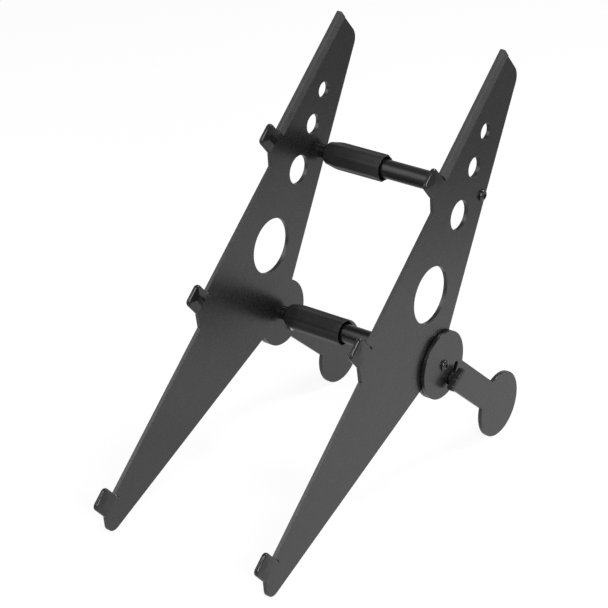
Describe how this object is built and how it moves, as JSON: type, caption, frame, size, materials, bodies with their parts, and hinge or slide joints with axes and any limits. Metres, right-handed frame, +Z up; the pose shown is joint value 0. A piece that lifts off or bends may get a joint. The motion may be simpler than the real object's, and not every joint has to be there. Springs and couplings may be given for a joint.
{
  "type": "desktop gear stand",
  "caption": "Low slanted stand with two stepped sheet side plates, twist-locked telescopic cross bars and swinging rear legs held by wing knobs.",
  "frame": {"origin": "on the floor under the middle of the stand's bounding box", "axes": "+X from the left plate to the right plate along the cross bars, +Y from the low front tips to the rear legs, +Z up from the floor"},
  "size_m": [0.1502, 0.2962, 0.2832],
  "materials": {
    "plate": "satin black powder coat on steel sheet",
    "strip": "matt black soft edge strip",
    "cap": "smooth black soft cap",
    "tube": "semi-gloss black coated tube",
    "grip": "black moulded plastic",
    "bush": "natural slippery plastic",
    "zinc": "zinc-plated steel",
    "screw": "glossy blackened steel",
    "spacer": "black plastic disc",
    "knob": "black moulded plastic"
  },
  "bodies": {
    "left_side": {"side_plate_left": "plate", "rest_strip_left": "strip", "tab_caps_left": "cap", "upper_inner_rod": "tube", "lower_inner_rod": "tube", "guide_bushes": "bush", "bar_screws_left": "screw", "leg_spacer_left": "spacer", "clinch_nut_left": "zinc"},
    "right_side": {"side_plate_right": "plate", "rest_strip_right": "strip", "tab_caps_right": "cap", "upper_outer_tube": "tube", "lower_outer_tube": "tube", "tube_plugs": "zinc", "clutch_collets": "bush", "bar_screws_right": "screw", "leg_spacer_right": "spacer", "clinch_nut_right": "zinc"},
    "left_leg": {"leg_left": "plate"},
    "right_leg": {"leg_right": "plate"},
    "upper_clutch": {"upper_clutch_grip": "grip"},
    "lower_clutch": {"lower_clutch_grip": "grip"},
    "left_knob": {"wing_knob_left": "knob", "knob_stud_left": "zinc", "knob_washer_left": "zinc"},
    "right_knob": {"wing_knob_right": "knob", "knob_stud_right": "zinc", "knob_washer_right": "zinc"}
  },
  "joints": [
    {"name": "width_slide", "type": "slide", "parent": "left_side", "child": "right_side", "axis": [1, 0, 0], "range_m": [-0.003, 0.064]},
    {"name": "left_leg_swing", "type": "hinge", "parent": "left_side", "child": "left_leg", "pos_m": [0, 0.05011, 0.08432], "axis": [1, 0, 0], "range_deg": [-34, 9.5]},
    {"name": "right_leg_swing", "type": "hinge", "parent": "right_side", "child": "right_leg", "pos_m": [0, 0.05011, 0.08432], "axis": [1, 0, 0], "range_deg": [-34, 9.5]},
    {"name": "upper_clutch_twist", "type": "hinge", "parent": "right_side", "child": "upper_clutch", "pos_m": [0, 0.09351, 0.18934], "axis": [1, 0, 0], "range_deg": [0, 180]},
    {"name": "lower_clutch_twist", "type": "hinge", "parent": "right_side", "child": "lower_clutch", "pos_m": [0, 0.05011, 0.08432], "axis": [1, 0, 0], "range_deg": [0, 180]},
    {"name": "left_knob_turn", "type": "hinge", "parent": "left_side", "child": "left_knob", "pos_m": [0, 0.05932, 0.07136], "axis": [-1, 0, 0], "range_deg": [0, 360]},
    {"name": "right_knob_turn", "type": "hinge", "parent": "right_side", "child": "right_knob", "pos_m": [0, 0.05932, 0.07136], "axis": [1, 0, 0], "range_deg": [0, 360]}
  ]
}
